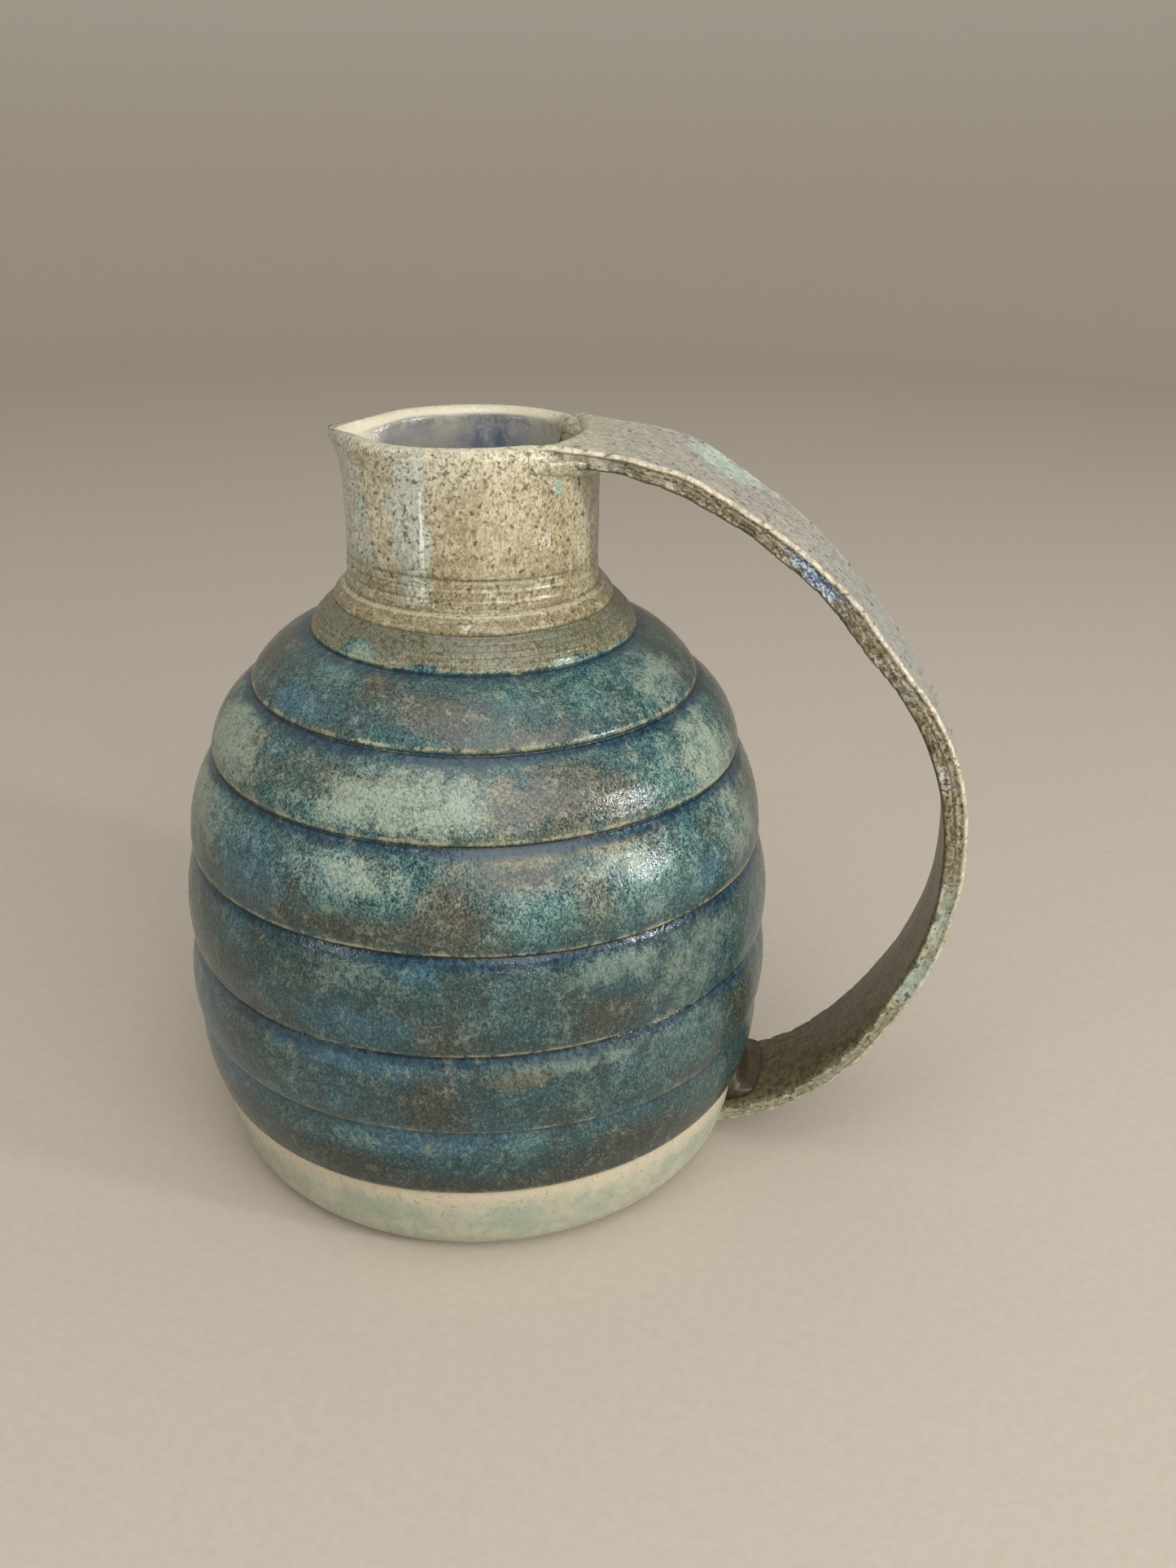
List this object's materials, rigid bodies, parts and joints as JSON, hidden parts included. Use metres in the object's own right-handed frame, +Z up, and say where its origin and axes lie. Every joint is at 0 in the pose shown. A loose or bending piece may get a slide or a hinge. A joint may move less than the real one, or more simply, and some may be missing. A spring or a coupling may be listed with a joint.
{
  "type": "ceramic pitcher",
  "caption": "Hand-thrown stoneware pitcher with a banded round body, narrow neck, pinched pouring lip and a wide looping strap handle.",
  "frame": {"origin": "centre of the flat base, on the body's axis and on the surface that the pitcher stands on", "axes": "+Z up along the body's axis, +X towards the handle, -X towards the pouring lip"},
  "size_m": [0.2116, 0.1626, 0.2],
  "materials": {
    "banded_teal_glaze": "mottled teal and blue-green satin glaze, cream bare clay below the glaze line",
    "oatmeal_speckle_glaze": "oatmeal semi-gloss glaze with dense brown and black speckle",
    "taupe_speckle_glaze": "grey taupe satin glaze, cream at the cut edges, dark brown speckle"
  },
  "bodies": {
    "root": {"thrown_body": "banded_teal_glaze", "thrown_neck": "oatmeal_speckle_glaze", "neck_luting_coil": "oatmeal_speckle_glaze", "strap_handle": "taupe_speckle_glaze", "upper_joint_pad": "oatmeal_speckle_glaze", "lower_joint_pad": "taupe_speckle_glaze"}
  },
  "joints": []
}
